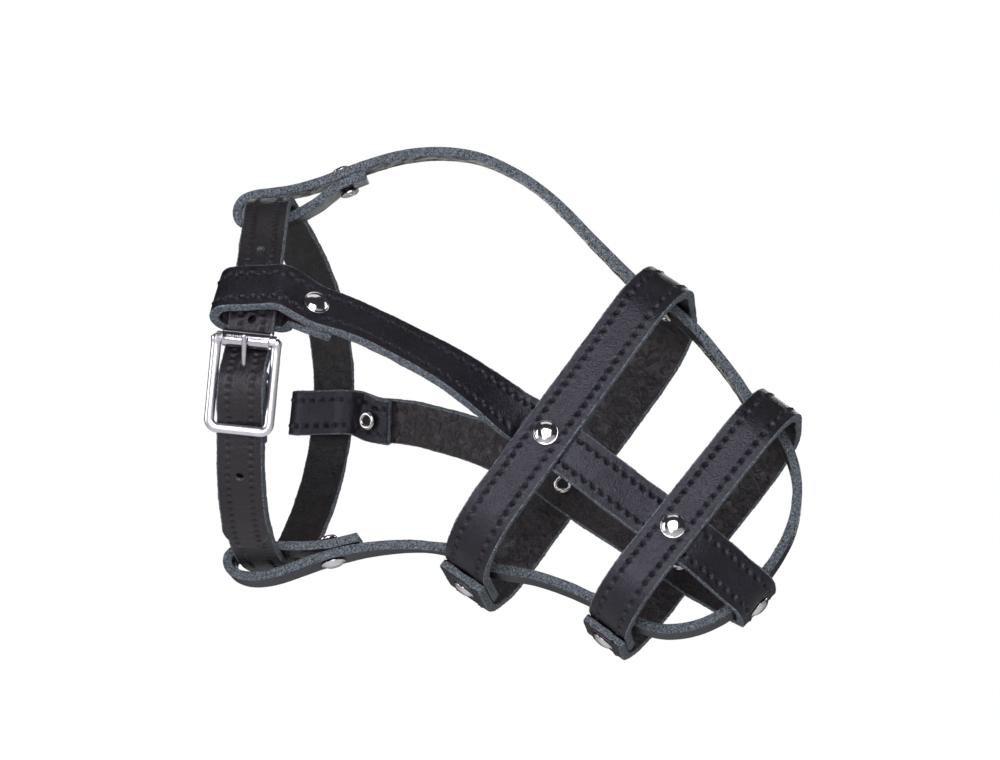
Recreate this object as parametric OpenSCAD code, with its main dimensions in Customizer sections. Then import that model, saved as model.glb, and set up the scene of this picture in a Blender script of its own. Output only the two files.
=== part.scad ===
// Leather basket muzzle for a dog: two ring bands round the snout, a centre
// strap over the forehead, nose and throat, a side strap round the nose, and a
// neck strap with a roller buckle that runs through the four strap loops.
//
// The origin is the centre of the rear ring, which is the snout opening.
// +X points forward, +Z up, and the buckle is on the -Y side.

/* [Leather] */
// Thickness of the centre strap, side strap and ring bands
leather_t = 3.4; // [3:0.1:3.6]
// Thickness of the neck strap
neck_t = 3.0; // [2.6:0.1:3.2]
// Width of the centre strap
centre_w = 12; // [10:0.5:14]
// Width of the side strap
side_w = 17.5; // [15:0.5:18]
// Width of the neck strap
neck_w = 16; // [14:0.5:16]

/* [Snout basket] */
// Angle of the snout axis below the horizon, in degrees
snout_pitch = 37; // [36:0.5:38]
// Outer height of the rear ring
rear_h = 133.3; // [133:0.1:134]
// Outer width of the rear ring
rear_w = 76; // [74:0.5:80]
// Width of the rear ring's band
rear_band = 17.5; // [15:0.5:18]
// Outer height of the front ring
front_h = 105.4; // [105:0.1:106]
// Outer width of the front ring
front_w = 60; // [58:0.5:64]
// Width of the front ring's band
front_band = 16.5; // [15:0.5:17]
// Distance between the ring centres along the snout axis
ring_gap = 54.5; // [53:0.5:56]

/* [Neck strap] */
// Mean radius of the buckled neck strap
neck_r = 69; // [68.8:0.1:69.2]
// How far the sides of the neck strap stand forward of its top and bottom
neck_saddle = 8; // [7:0.5:9]
// How far the top of the neck strap leans forward
neck_tilt = 3; // [2:0.5:3]
// Diameter of the adjustment holes
hole_d = 3; // [3:0.5:4]
// Distance between adjustment holes
hole_pitch = 13.5; // [12:0.5:15]

/* [Buckle] */
// Length between the roller bar and the keeper bar
buckle_l = 31; // [30.5:0.1:31.5]
// Inner width of the buckle
buckle_w = 17.4; // [17.2:0.1:18]
// Diameter of the frame's wire
wire_d = 2.8; // [2.6:0.1:3]
// Outer diameter of the roller
roller_d = 6.1; // [6:0.1:6.2]

/* [Rivets] */
// Diameter of the domed caps
cap_d = 9; // [8:0.5:9.5]
// Height of the domed caps
cap_h = 1.8; // [1.4:0.1:2.2]
// Outer diameter of the tubular posts
post_d = 4.4; // [4:0.1:4.6]
// Diameter of the bore through the posts
post_bore_d = 3.6; // [3.2:0.1:3.6]

/* [Hidden] */
$fn = 48;
gap = 0.3;                 // space left between neighbouring layers of leather
arc_step = 7.5;            // angle between the points of a round stretch

// Rings: turn of each ring about Y from square to the snout axis, and the
// radius of its corners along the middle of the leather.
rear_turn = -1;
front_turn = 2;
rear_corner = 22.5;
front_corner = 19;
rear_lap = 13.5;           // how far each end of a band passes the middle
front_lap = 9;

// Neck ring: its centre, how far its middle stands forward of that, how much
// further back its near side is, its twist, and how far its top sags.
neck_x = -107.2;
neck_z = 26.8;
neck_forward = 0.6;
neck_yaw = 1.5;
neck_twist = 1.3;
neck_sag = 4.6;
tip_a = 71;                // where the free end stops, below the near side
loop_a = 6.6;              // where the side loops sit, above the near side
loop_tilt = 18;            // how far the upper edges of the side loops lean inward
loop_lean = 8;             // and forward

// Buckle: its middle on the neck ring, and heights across its plane,
// counted outward from the ring's mean radius.
buckle_a = 18.8;
frame_v = 3.3;
centre_bar_v = 0.6;
centre_bar_u = 1.5;        // the centre bar, above the buckle's middle
bar_r = 1.5;
roller_bar_r = 2;
fit = 0.08;                // radial clearance of the roller and the prong's eye
prong_r = 1.05;
prong_slot = 3.4;
tip_share = 0.36;          // width of the tip, as a share of the strap's width
fold_t = 1.7;              // thickness of the skived leather round the bar

// ---- Curves -------------------------------------------------------------

function unit(v) = v / norm(v);

// Point at t along the smooth curve from b to c, with a before and d after.
function between(a, b, c, d, t) =
    0.5 * (2 * b + (c - a) * t + (2 * a - 5 * b + 4 * c - d) * t * t + (3 * b - a - 3 * c + d) * t * t * t);

// Smooth curve through the points, with this many steps from each to the next.
function smooth(p, steps) =
    let (last = len(p) - 1)
    [
        for (i = [0 : last - 1], k = [0 : steps - 1])
            between(p[max(i - 1, 0)], p[i], p[i + 1], p[min(i + 2, last)], k / steps),
        p[last],
    ];

function arc(centre, r, from, to) =
    let (steps = ceil(abs(to - from) / arc_step))
    [for (i = [0 : steps]) let (a = from + (to - from) * i / steps) centre + r * [cos(a), sin(a)]];

// Direction of travel along the points p at point i.
function travel(p, i) = unit(p[min(i + 1, len(p) - 1)] - p[max(i - 1, 0)]);

// Outline of a strip of thickness t whose middle follows the flat points p.
function strip(p, t) =
    let (side = [for (i = [0 : len(p) - 1]) let (d = travel(p, i)) [-d.y, d.x] * t / 2])
    concat(
        [for (i = [0 : len(p) - 1]) p[i] + side[i]],
        [for (i = [len(p) - 1 : -1 : 0]) p[i] - side[i]]);

// The part of up that is square to the direction of travel.
function across(up, way) = unit(up - (up * way) * way);

// A flat ribbon: its middle follows the points p, its width lies along up, and
// width and thickness are given at each point. The faces of its second half
// are split the other way, so a symmetric ribbon has a symmetric mesh.
module ribbon(p, up, width, thickness) {
    last = len(p) - 1;
    corners = [
        for (i = [0 : last])
            let (way = travel(p, i), w = across(up[i], way), n = cross(way, w))
            let (a = w * width[i] / 2, b = n * thickness[i] / 2)
            each [p[i] - a - b, p[i] + a - b, p[i] + a + b, p[i] - a + b]
    ];
    walls = [
        for (i = [0 : last - 1], k = [0 : 3])
            let (a = 4 * i + k, b = 4 * i + (k + 1) % 4)
            each i < last / 2 ? [[a, b + 4, b], [a, a + 4, b + 4]] : [[a, a + 4, b], [b, a + 4, b + 4]]
    ];
    end = 4 * last;
    ends = [[0, 1, 2], [0, 2, 3], [end, end + 2, end + 1], [end, end + 3, end + 2]];
    polyhedron(corners, concat(walls, ends));
}

// Puts the children's +Z axis along the direction out, from point p.
module along(p, out) {
    translate(p)
        rotate([0, acos(unit(out).z), atan2(out.y, out.x)])
            children();
}

// Rivet holes through a strap, for the rivets with these names.
module rivet_holes(names) {
    for (r = RIVETS)
        if (search([r[0]], names)[0] != [])
            along(r[1], r[2])
                translate([0, 0, -r[3] - 2])
                    cylinder(d = post_d + 0.1, h = r[3] + 4);
}

// ---- Frames of the snout ------------------------------------------------

function turn_y(v, a) = [v.x * cos(a) + v.z * sin(a), v.y, v.z * cos(a) - v.x * sin(a)];
function in_rear(v) = turn_y(v, snout_pitch + rear_turn);
function in_front(v) = turn_y([ring_gap, 0, 0], snout_pitch) + turn_y(v, snout_pitch + front_turn);
function front_way(v) = turn_y(v, snout_pitch + front_turn);

// ---- Centre strap -------------------------------------------------------

// Middle of the leather seen from the side, from the crown loop's tail, round
// that loop, over the forehead, round the nose and back to the throat loop.
crown_loop = [
    [-77.5, 106.2], [-86.6, 102.6], [-91.5, 99], [-96.5, 95.2], [-104.5, 90.9], [-112, 88.6],
    [-119, 87.6], [-123.6, 89.6], [-124.9, 93.9], [-123, 98], [-118.5, 100], [-112, 100.7],
    [-104, 101.6], [-95.5, 103.7]];
forehead = [
    [-86.3, 106.9], [-76.5, 110.3], [-65.3, 113.2], [-53.9, 114.3], [-42.5, 113.4], [-32.9, 110.9],
    [-24, 106.6], [-14.5, 100.4], [-4.2, 91.1], [10.4, 74.4], [24.9, 58.3]];
bridge = [[35.8, 49.2], [45.3, 39.9], [53, 30], [59.6, 20.4], [65.5, 11]];
nose_curve = [
    [72.3, 3.7], [77.2, -5.3], [79.9, -14], [80.4, -22.7], [79, -31.8], [75.5, -40.8],
    [69.8, -49.8], [61.9, -59.2], [54, -65.4], [46, -69.4], [38, -71.2], [30, -71], [21.8, -68]];
chin = [
    [14, -63.9], [6.7, -59.3], [-3.5, -54.4], [-13, -51], [-21, -49.2], [-28.5, -47.6],
    [-35.5, -44.6], [-42.9, -40.3], [-52, -38.4], [-62, -37.9], [-73.5, -38.7]];
throat_loop = [
    [-83, -40.4], [-91, -42.4], [-98.5, -44.9], [-105.5, -47.2], [-112.5, -48.6], [-118.8, -48.2],
    [-123.4, -45.6], [-124.2, -41.2], [-120.5, -38.2], [-113, -37.8], [-104, -37.8], [-95, -38],
    [-86, -37.2], [-76.8, -35.2]];
centre_flat = concat(crown_loop, forehead, bridge, nose_curve, chin, throat_loop);

// The crown loop is pulled over to the near side, and the arch swings out to it.
crown_shift = [3.2, -15, -6.1];
shift_from = len(crown_loop);
shift_to = shift_from + 10;
function share(t) = (1 + cos(180 * min(max(t, 0), 1))) / 2;
function shifted(i) = crown_shift * share((i - shift_from) / (shift_to - shift_from));
centre_stations = [for (i = [0 : len(centre_flat) - 1]) [centre_flat[i].x, 0, centre_flat[i].y] + shifted(i)];

// Roll of the strap's width about its length, by station: its near edge is low
// at the arch and at the throat.
crown_roll = 13;
centre_roll = [
    [0, crown_roll], [shift_from + 7, crown_roll], [shift_to, 3], [shift_to + 1, 0], [49, 0],
    [51, 8], [53, 3], [54, 0], [67, 0]];

// Rivets through both layers of the two loops: a point on the outer face and
// the way out of the leather.
crown_out = unit([-0.34, -0.94 * sin(crown_roll), 0.94 * cos(crown_roll)]);
crown_rivet = centre_stations[shift_from] + crown_out * leather_t / 2;
throat_out = unit([0.24, 0, -0.97]);
throat_rivet = [-87, 0, -41.4] + throat_out * leather_t / 2;

module centre_strap() {
    p = smooth(centre_stations, 3);
    up = smooth([
        for (i = [0 : len(centre_stations) - 1]) let (r = lookup(i, centre_roll)) [0, cos(r), sin(r)]], 3);
    color("#3b3a40")
        difference() {
            ribbon(p, up, [for (q = p) centre_w], [for (q = p) leather_t]);
            rivet_holes([
                "crown_loop", "throat_loop", "rear_top", "front_top", "nose", "front_bottom",
                "rear_bottom"]);
        }
}

// ---- Ring bands ---------------------------------------------------------

// One strip bent round until its ends lap at the bottom, drawn in the plane
// (y, up): the near end lies inside and the far end outside it.
function ring_path(w, h, corner, lap) =
    let (side = (w - leather_t) / 2 - corner, top = (h - leather_t) / 2)
    let (inner = -top + leather_t + gap)
    concat(
        [[lap, inner]],
        arc([-side, inner + corner], corner, 270, 180),
        arc([-side, top - corner], corner, 180, 90),
        arc([side, top - corner], corner, 90, 0),
        arc([side, -top + corner], corner, 0, -90),
        [[-lap, -top]]);

module ring_band(w, h, corner, lap, band) {
    rotate([90, 0, 90])
        linear_extrude(band, center = true)
            polygon(strip(ring_path(w, h, corner, lap), leather_t));
}

module rear_ring() {
    color("#2e2b31")
        difference() {
            rotate([0, snout_pitch + rear_turn, 0])
                ring_band(rear_w, rear_h, rear_corner, rear_lap, rear_band);
            rivet_holes(["rear_top", "rear_near", "rear_far", "rear_bottom"]);
        }
}

module front_ring() {
    color("#2e2b31")
        difference() {
            rotate([0, snout_pitch, 0])
                translate([ring_gap, 0, 0])
                    rotate([0, front_turn, 0])
                        ring_band(front_w, front_h, front_corner, front_lap, front_band);
            rivet_holes(["front_top", "front_near", "front_far", "front_bottom"]);
        }
}

// ---- Side strap ---------------------------------------------------------

cross_d = -10;             // where it crosses the rings, up from their middle
nose_lean = 44;            // lean of its width at the nose, from upright
rear_y = rear_w / 2 - 1.5 * leather_t - gap;
front_y = front_w / 2 - 1.5 * leather_t - gap;

// Where the loop's rivet goes through the middle of the outer layer.
loop_mark = [-82.5, -68.4, 31];
mark_tilt = 24;

// Where the side strap wraps the nose, outside the centre strap.
nose_out = [cos(nose_lean), 0, -sin(nose_lean)];
nose_mid = [61.9, 0, -59.2] + nose_out * (leather_t + gap);
nose_rivet = nose_mid + nose_out * leather_t / 2;

// A point given by its distance along the snout axis and its height across it.
function snout(along_axis, y, up) = turn_y([along_axis, y, up], snout_pitch);

// A point behind the nose rivet, by this much along the rivet's axis.
function behind_nose(back, y) = nose_mid - back * nose_out + [0, y, 0];

// The loop round the neck strap: a half turn between two legs, square to the
// neck ring where it passes through.
loop_turn = 5.8;           // radius of the half turn, along the middle of the leather
loop_x = -110;
loop_out_way = [0, -cos(loop_tilt), sin(loop_tilt)];
loop_mid = [loop_x, 0, neck_z] + [0, -cos(loop_a), sin(loop_a)] * (neck_r - 0.25);
function leg(side, x) = [x, loop_mid.y, loop_mid.z] + side * loop_turn * loop_out_way;
loop_stations = [
    for (a = [0 : 30 : 180])
        [loop_mid + loop_out_way * loop_turn * cos(a) - [loop_turn * sin(a), 0, 0], loop_lean, loop_tilt]
];

side_steps = 3;             // sections from one station to the next

// Stations of the near half, front to back: the middle of the leather, how far
// its width leans forward and how far its upper edge leans inward, in degrees.
side_run = [
    [nose_mid, nose_lean, 0],
    [behind_nose(0, -4.4), nose_lean, 0],
    [behind_nose(0.5, -7.6), nose_lean, 0],
    [behind_nose(2.8, -10.6), 43, 0],
    [snout(80, -14.2, -10.2), 40, 0],
    [snout(71, -19.6, -10), snout_pitch, 0],
    [snout(63, -front_y + 0.8, cross_d), snout_pitch, 0],
    [snout(ring_gap, -front_y, cross_d), snout_pitch, 0],
    [snout(45, -front_y - 0.1, cross_d), snout_pitch, 0],
    [snout(35, -front_y - 2.2, cross_d), snout_pitch, 0],
    [snout(20, -rear_y + 1.8, cross_d), snout_pitch, 0],
    [snout(10, -rear_y, cross_d), snout_pitch, 0],
    [snout(0, -rear_y, cross_d), snout_pitch, 0],
    [snout(-9, -rear_y + 0.1, cross_d + 0.4), snout_pitch, 0],
    [[-17.5, -34.8, 0.2], 32, 8],
    [[-27, -39.9, 6.8], 26, 20],
    [[-41, -47.6, 15.2], 20, 31],
    [[-62, -58, 24.6], 12, 33],
    [[-72.5, -63.5, 28.3], 10, 30],
    [loop_mark, 8, mark_tilt],
    [leg(1, -92.5) - [0, 0, 0.5], 8, loop_tilt],
    [leg(1, -99), loop_lean, loop_tilt],
    [leg(1, loop_x + 4.5), loop_lean, loop_tilt],
];

// The tail lies inside the strap again from the loop's rivet to its end.
function width_way(s) = [sin(s[1]), sin(s[2]), cos(s[1]) * cos(s[2])];
loop_way = unit([19.3, 8.7, -6]);
loop_normal = unit(cross(loop_way, across(width_way([loop_mark, 8, mark_tilt]), loop_way)));
tail_mark = loop_mark - loop_normal * (leather_t + gap);
tail_stations = [
    [leg(-1, loop_x + 4.5), loop_lean, loop_tilt],
    [leg(-1, -99), loop_lean, loop_tilt],
    [leg(-1, -93.4) + [0, 1.4, -0.6], 8, loop_tilt],
    [[-88.8, -64.7, 32.2], 8, 20],
    [tail_mark, 8, mark_tilt],
    [tail_mark + loop_way * 4.2, 8, mark_tilt + 1],
    [tail_mark + loop_way * 8.5, 9, mark_tilt + 4],
];

function flip(p, side) = [p.x, -side * p.y, p.z];
function loop_rivet(side) = flip(loop_mark + loop_normal * leather_t / 2, side);
function loop_out(side) = flip(loop_normal, side);

side_half = concat(side_run, loop_stations, tail_stations);
side_last = len(side_half) - 1;
side_stations = concat(
    [for (i = [side_last : -1 : 1]) let (s = side_half[i]) [flip(s[0], 1), s[1], s[2], -1]],
    [for (s = side_half) [s[0], s[1], s[2], 1]]);

module side_strap() {
    p = smooth([for (s = side_stations) s[0]], side_steps);
    up = smooth([for (s = side_stations) let (w = width_way(s)) [w.x, s[3] * w.y, w.z]], side_steps);
    color("#35323a")
        difference() {
            ribbon(p, up, [for (q = p) side_w], [for (q = p) leather_t]);
            rivet_holes([
                "near_loop", "far_loop", "rear_near", "rear_far", "front_near", "front_far", "nose"]);
        }
}

// ---- Neck strap ---------------------------------------------------------

// Directions in the ring's plane (y, z): angles count down from the near side.
function outward(a) = [-cos(a), -sin(a)];
function downward(a) = [sin(a), -cos(a)];
function on_ring(a, off) = (neck_r + off - neck_sag * pow(max(0, -sin(a)), 4)) * outward(a);

// A point in the buckle's own plane, from its middle: up along the strap and
// out from the ring's mean radius.
function in_plane(up, out) = (neck_r + out) * outward(buckle_a) - up * downward(buckle_a);

// The ring isn't flat: its sides stand forward of its top and bottom, it leans
// and it is a little twisted.
function ring_x(a) =
    neck_x + neck_forward + neck_saddle / 2 * cos(2 * a) - neck_yaw * cos(a) - neck_tilt * sin(a)
    - neck_twist * sin(3 * a);
function lift(p) = [ring_x(atan2(-p.y, -p.x)), p.x, neck_z + p.y];

keeper_a = buckle_a + 13;
joined_a = 70;             // below this the fixed end is back on the mean radius
tail_in = 1.8;             // how far the fixed end lies inside at the keeper bar
function fixed_off(a) = a < joined_a ? -tail_in * (joined_a - a) / (joined_a - keeper_a) : 0;

// Stations from the free end's tip: place in the plane, thickness and width.
// The fold's width follows the centre bar, which leans with the buckle.
tip_stations = [
    for (a = [tip_a : -5.5 : keeper_a + 5])
        let (from_tip = tip_a - a)
        [on_ring(a, fixed_off(a) + neck_t + gap), neck_t, from_tip == 0 ? neck_w * tip_share : neck_w]
];
hump_stations = [
    for (q = [
        [-15.5, -0.2], [-11.6, 1.8], [-7.4, 4.2], [-2.8, 5.7], [1.5, 5.9], [5.3, 4.3], [9.5, 0.9],
        [12.8, -1.2], [16, -2.3]])
        [in_plane(q[0], q[1]), neck_t, neck_w]
];
round_stations = [
    for (a = [0 : -6 : -324])
        [on_ring(a, fixed_off(a + 360)), neck_t, neck_w]
];
fixed_stations = [
    for (q = [[-15.5, -3.5, neck_t], [-11.5, -2.2, neck_t], [-7.5, -0.5, neck_t], [-3.2, 1.7, 2.2]])
        [in_plane(q[0], q[1]), q[2], neck_w]
];
fold_r = bar_r + 0.15 + fold_t / 2;
fold_stations = [
    for (a = [0 : 30 : 180])
        [in_plane(centre_bar_u + fold_r * sin(a), centre_bar_v + fold_r * cos(a)), fold_t, neck_w]
];
neck_tail_stations = [
    for (q = [
        [-3.2, -2.7, 2.2], [-7.5, -4.3, neck_t], [-11.5, -5.7, neck_t], [-15.5, -7, neck_t],
        [-19.5, -8, neck_t]])
        [in_plane(q[0], q[1]), q[2], neck_w]
];
level_stations = concat(tip_stations, hump_stations, round_stations, fixed_stations);
leaning_stations = concat(fold_stations, neck_tail_stations);
neck_stations = concat(level_stations, leaning_stations);

// The rivet that closes the fold lies under the free end, so its cap is low.
fold_rivet = [0, -1.3, -7.2];
fold_out = [0, -0.9, -0.43];
fold_cap_d = 7;
fold_cap_h = 0.7;
fold_grip = 6.7;

prong_from = [0, -2, 2.6];
prong_to = [0, -8.6, 17];

// The buckle's own frame: X across it, -Y out of the ring and Z up the strap.
buckle_lean = atan2(ring_x(buckle_a - 1) - ring_x(buckle_a + 1), neck_r * sin(2));
buckle_mid = lift(on_ring(buckle_a, 0));
bar_way = [cos(buckle_lean), sin(buckle_lean) * sin(buckle_a), -sin(buckle_lean) * cos(buckle_a)];

module in_buckle() {
    translate(buckle_mid)
        rotate([buckle_a, 0, 0])
            rotate([0, buckle_lean, 0])
                children();
}

module prong_path(r) {
    d = prong_to - prong_from;
    along(prong_from, d)
        cylinder(r = r, h = norm(d));
}

module neck_strap() {
    p = smooth([for (s = neck_stations) lift(s[0])], 2);
    t = smooth([for (s = neck_stations) s[1]], 2);
    w = smooth([for (s = neck_stations) s[2]], 2);
    up = smooth(concat(
        [for (s = level_stations) [1, 0, 0]],
        [for (s = leaning_stations) bar_way]), 2);
    color("#29262c")
        difference() {
            ribbon(p, up, w, t);
            for (i = [-4, 0, 1, 2])
                adjustment_hole(i);
            in_buckle() {
                prong_path(prong_r + 0.85);
                translate([-prong_slot / 2, -4.1, -2.2])
                    cube([prong_slot, 7, 8.4]);
                along(fold_rivet, fold_out)
                    translate([0, 0, -fold_grip - 1])
                        cylinder(d = post_d + 0.1, h = fold_grip + 1.2);
            }
        }
}

// Hole number i, counted up the strap from the one just above the roller.
module adjustment_hole(i) {
    a = -i * hole_pitch / neck_r * 180 / PI;
    q = lift(on_ring(a, i < 0 ? neck_t : 0));
    along(q, [0, outward(a).x, outward(a).y])
        translate([0, 0, -2.4])
            cylinder(d = hole_d, h = 5);
}

// ---- Buckle -------------------------------------------------------------

side_x = (buckle_w + wire_d) / 2;
bend_r = 3;                // bend of the wire at the two lower corners
ear_r = 1.9;

module rod(from, to, r) {
    along(from, to - from)
        cylinder(r = r, h = norm(to - from));
}

module buckle_frame() {
    top = buckle_l / 2;
    color("#c9c5cc")
        in_buckle() {
            for (half = [0, 1])
                mirror([half, 0, 0]) {
                    rod([side_x, -frame_v, -top + bend_r], [side_x, -frame_v, top], wire_d / 2);
                    translate([side_x - 0.2, -frame_v, top])
                        sphere(r = ear_r);
                    translate([side_x - bend_r, -frame_v, -top + bend_r])
                        rotate([90, 0, 0])
                            rotate([0, 0, -90])
                                rotate_extrude(angle = 90)
                                    translate([bend_r, 0])
                                        circle(d = wire_d);
                }
            rod([-side_x + bend_r, -frame_v, -top], [side_x - bend_r, -frame_v, -top], wire_d / 2);
            rod([-side_x, -frame_v, top], [side_x, -frame_v, top], roller_bar_r);
            rod([-side_x, -centre_bar_v, centre_bar_u], [side_x, -centre_bar_v, centre_bar_u], bar_r);
        }
}

module buckle_roller() {
    length = buckle_w - 0.9;
    color("#d6d2d8")
        in_buckle()
            translate([-length / 2, -frame_v, buckle_l / 2])
                rotate([0, 90, 0])
                    difference() {
                        cylinder(d = roller_d, h = length);
                        translate([0, 0, -1])
                            cylinder(r = roller_bar_r + fit, h = length + 2);
                    }
}

module buckle_prong() {
    eye_w = 2.6;
    color("#bfbac4")
        in_buckle()
            difference() {
                union() {
                    translate([-eye_w / 2, -centre_bar_v, centre_bar_u])
                        rotate([0, 90, 0])
                            cylinder(r = bar_r + fit + 0.95, h = eye_w);
                    prong_path(prong_r);
                    translate(prong_to)
                        sphere(r = prong_r);
                }
                translate([-eye_w, -centre_bar_v, centre_bar_u])
                    rotate([0, 90, 0])
                        cylinder(r = bar_r + fit, h = 2 * eye_w);
            }
}

// ---- Rivets -------------------------------------------------------------

// Each rivet: its name, its outer end, the way out of the leather and the
// thickness of leather that it grips.
RIVETS = [
    ["crown_loop", crown_rivet, crown_out, 7.6],
    ["throat_loop", throat_rivet, throat_out, 7.8],
    ["near_loop", loop_rivet(-1), loop_out(-1), 7.9],
    ["far_loop", loop_rivet(1), loop_out(1), 7.9],
    ["rear_top", in_rear([0, 0, rear_h / 2]), in_rear([0, 0, 1]), 7.9],
    ["rear_near", in_rear([0, -rear_w / 2, cross_d]), [0, -1, 0], 2 * leather_t + gap],
    ["rear_far", in_rear([0, rear_w / 2, cross_d]), [0, 1, 0], 2 * leather_t + gap],
    ["rear_bottom", in_rear([0, 0, -rear_h / 2]), in_rear([0, 0, -1]), 12.5],
    ["front_top", in_front([0, 0, front_h / 2]), front_way([0, 0, 1]), 9.1],
    ["front_near", in_front([0, -front_w / 2, cross_d]), [0, -1, 0], 2 * leather_t + gap],
    ["front_far", in_front([0, front_w / 2, cross_d]), [0, 1, 0], 2 * leather_t + gap],
    ["front_bottom", in_front([0, 0, -front_h / 2]), front_way([0, 0, -1]), 12.8],
    ["nose", nose_rivet, nose_out, 7.3],
];

// A domed cap standing on the leather, with +Z out of it.
module dome(d, h) {
    r = (d * d / 4 + h * h) / (2 * h);
    translate([0, 0, 0.05])
        intersection() {
            translate([0, 0, h - r])
                sphere(r = r, $fn = 96);
            cylinder(d = d, h = h);
        }
}

// The tube under a cap, rolled open over the last layer of leather.
module tube(grip) {
    roll_r = 0.9;
    foot = -grip - roll_r - 0.1;
    rotate_extrude()
        translate([post_bore_d / 2, foot])
            square([(post_d - post_bore_d) / 2, -foot - 0.05]);
    translate([0, 0, foot])
        rotate_extrude()
            translate([post_bore_d / 2 + roll_r, 0])
                circle(r = roll_r);
}

module rivet_cap(r) {
    color("#cfcbd2")
        along(r[1], r[2])
            dome(cap_d, cap_h);
}

module rivet_post(r) {
    color("#b8b4bd")
        along(r[1], r[2])
            tube(r[3]);
}

module cap_buckle() {
    color("#cfcbd2")
        in_buckle()
            along(fold_rivet, fold_out)
                dome(fold_cap_d, fold_cap_h);
}

module post_buckle() {
    color("#b8b4bd")
        in_buckle()
            along(fold_rivet, fold_out)
                tube(fold_grip);
}

centre_strap();
side_strap();
rear_ring();
front_ring();
neck_strap();
buckle_frame();
buckle_roller();
buckle_prong();
cap_buckle();
post_buckle();
for (r = RIVETS) {
    rivet_cap(r);
    rivet_post(r);
}
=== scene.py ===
"""Leather basket muzzle: the looks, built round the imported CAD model.

Straps are swept in mesh code with their pressed stitch lines, punched holes and
cut edges, rivets and buckle are turned and bent metal. Lengths are in millimetres
until a mesh is made, and in metres for the camera and the lights. The frame is
that of the CAD model: +X forward, +Z up, the buckle on the -Y side and the origin
at the centre of the rear ring.
"""
import math

import bpy
import numpy as np
from mathutils import Matrix, Vector


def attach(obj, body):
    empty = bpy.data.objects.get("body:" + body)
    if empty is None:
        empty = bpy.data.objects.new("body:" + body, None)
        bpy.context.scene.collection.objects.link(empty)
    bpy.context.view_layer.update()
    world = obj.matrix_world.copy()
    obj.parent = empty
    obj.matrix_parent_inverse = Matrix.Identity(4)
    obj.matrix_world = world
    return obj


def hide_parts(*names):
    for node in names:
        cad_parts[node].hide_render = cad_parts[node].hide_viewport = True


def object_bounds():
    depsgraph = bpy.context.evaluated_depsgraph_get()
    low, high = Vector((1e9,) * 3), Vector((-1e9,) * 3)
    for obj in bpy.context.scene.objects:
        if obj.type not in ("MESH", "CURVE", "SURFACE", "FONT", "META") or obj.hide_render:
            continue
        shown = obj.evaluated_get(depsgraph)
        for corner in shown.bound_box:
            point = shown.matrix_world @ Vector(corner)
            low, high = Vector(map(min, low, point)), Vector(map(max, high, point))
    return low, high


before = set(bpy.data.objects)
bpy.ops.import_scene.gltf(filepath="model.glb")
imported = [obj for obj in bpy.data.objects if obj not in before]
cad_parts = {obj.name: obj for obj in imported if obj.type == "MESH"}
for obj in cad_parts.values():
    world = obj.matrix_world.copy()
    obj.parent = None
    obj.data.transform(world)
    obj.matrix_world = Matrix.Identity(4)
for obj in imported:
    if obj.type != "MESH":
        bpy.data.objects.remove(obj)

cad_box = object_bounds()

MM = 0.001

# ---- Sizes, in millimetres ------------------------------------------------

leather_t = 3.4
neck_t = 3.0
centre_w = 12.0
side_w = 17.5
neck_w = 16.0
gap = 0.3
stitch_inset, tick_inset = 3.7, 4.0      # from a strap's edge to its row of stitches

snout_pitch = 37.0
rear_h, rear_w, rear_band, rear_turn, rear_corner, rear_lap = 133.3, 76.0, 17.5, -1.0, 22.5, 13.5
front_h, front_w, front_band, front_turn, front_corner, front_lap = 105.4, 60.0, 16.5, 2.0, 19.0, 9.0
ring_gap = 54.5
cross_d = -10.0
nose_lean = 44.0

neck_r, neck_x, neck_z = 69.0, -107.2, 26.8
neck_forward, neck_saddle, neck_yaw, neck_tilt, neck_twist, neck_sag = 0.6, 8.0, 1.5, 3.0, 1.3, 4.6
tip_a, tip_share, loop_a, buckle_a = 71.0, 0.36, 6.6, 18.8
loop_tilt, loop_lean, mark_tilt = 18.0, 8.0, 24.0
hole_d, hole_pitch = 3.0, 13.5
prong_hole = (2.0, 1.3)    # half sizes of the prong's hole, along and across the strap

buckle_l, buckle_w, ear_r, bend_r = 31.0, 17.4, 1.9, 3.0
wire_a, wire_b = 1.75, 1.3  # half sizes of the bent wire, which is a little flattened
frame_v, centre_bar_v, centre_bar_u = 3.3, 0.6, 1.5
bar_r, roller_bar_r, roller_d, fit = 1.5, 2.0, 6.1, 0.08
prong_r, prong_slot, fold_t = 1.05, 3.4, 1.7
prong_from, prong_to = (0, -2, 2.6), (0, -8.6, 17)

cap_d, cap_h = 9.0, 1.8
low_cap_d, low_cap_h = 7.0, 0.7
cap_rim_r, cap_rim_h = 0.34, 0.30
post_r, bore_r, roll_r = 2.2, 1.8, 0.9

row_step = 0.6             # length of leather between two rows of the mesh
edge_round = 0.5           # radius of the rubbed edges of the leather
pit_shade_depth = 0.5           # depth from which a pressed mark gets its darkest painted shade
dent_r, dent_d = 5.6, 0.18  # the dent that a rivet's cap presses into the leather
axis_r = 0.02              # radius at which a turned profile stops short of its axis


# ---- Vectors and curves ---------------------------------------------------

def vec(*v):
    return np.array(v, float)


def unit(v):
    return v / np.linalg.norm(v, axis=-1, keepdims=True)


def cosd(a):
    return math.cos(math.radians(a))


def sind(a):
    return math.sin(math.radians(a))


def turn_y(v, a):
    """v turned about Y, so that a positive angle tips +X down."""
    x, y, z = v
    return vec(x * cosd(a) + z * sind(a), y, z * cosd(a) - x * sind(a))


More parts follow.
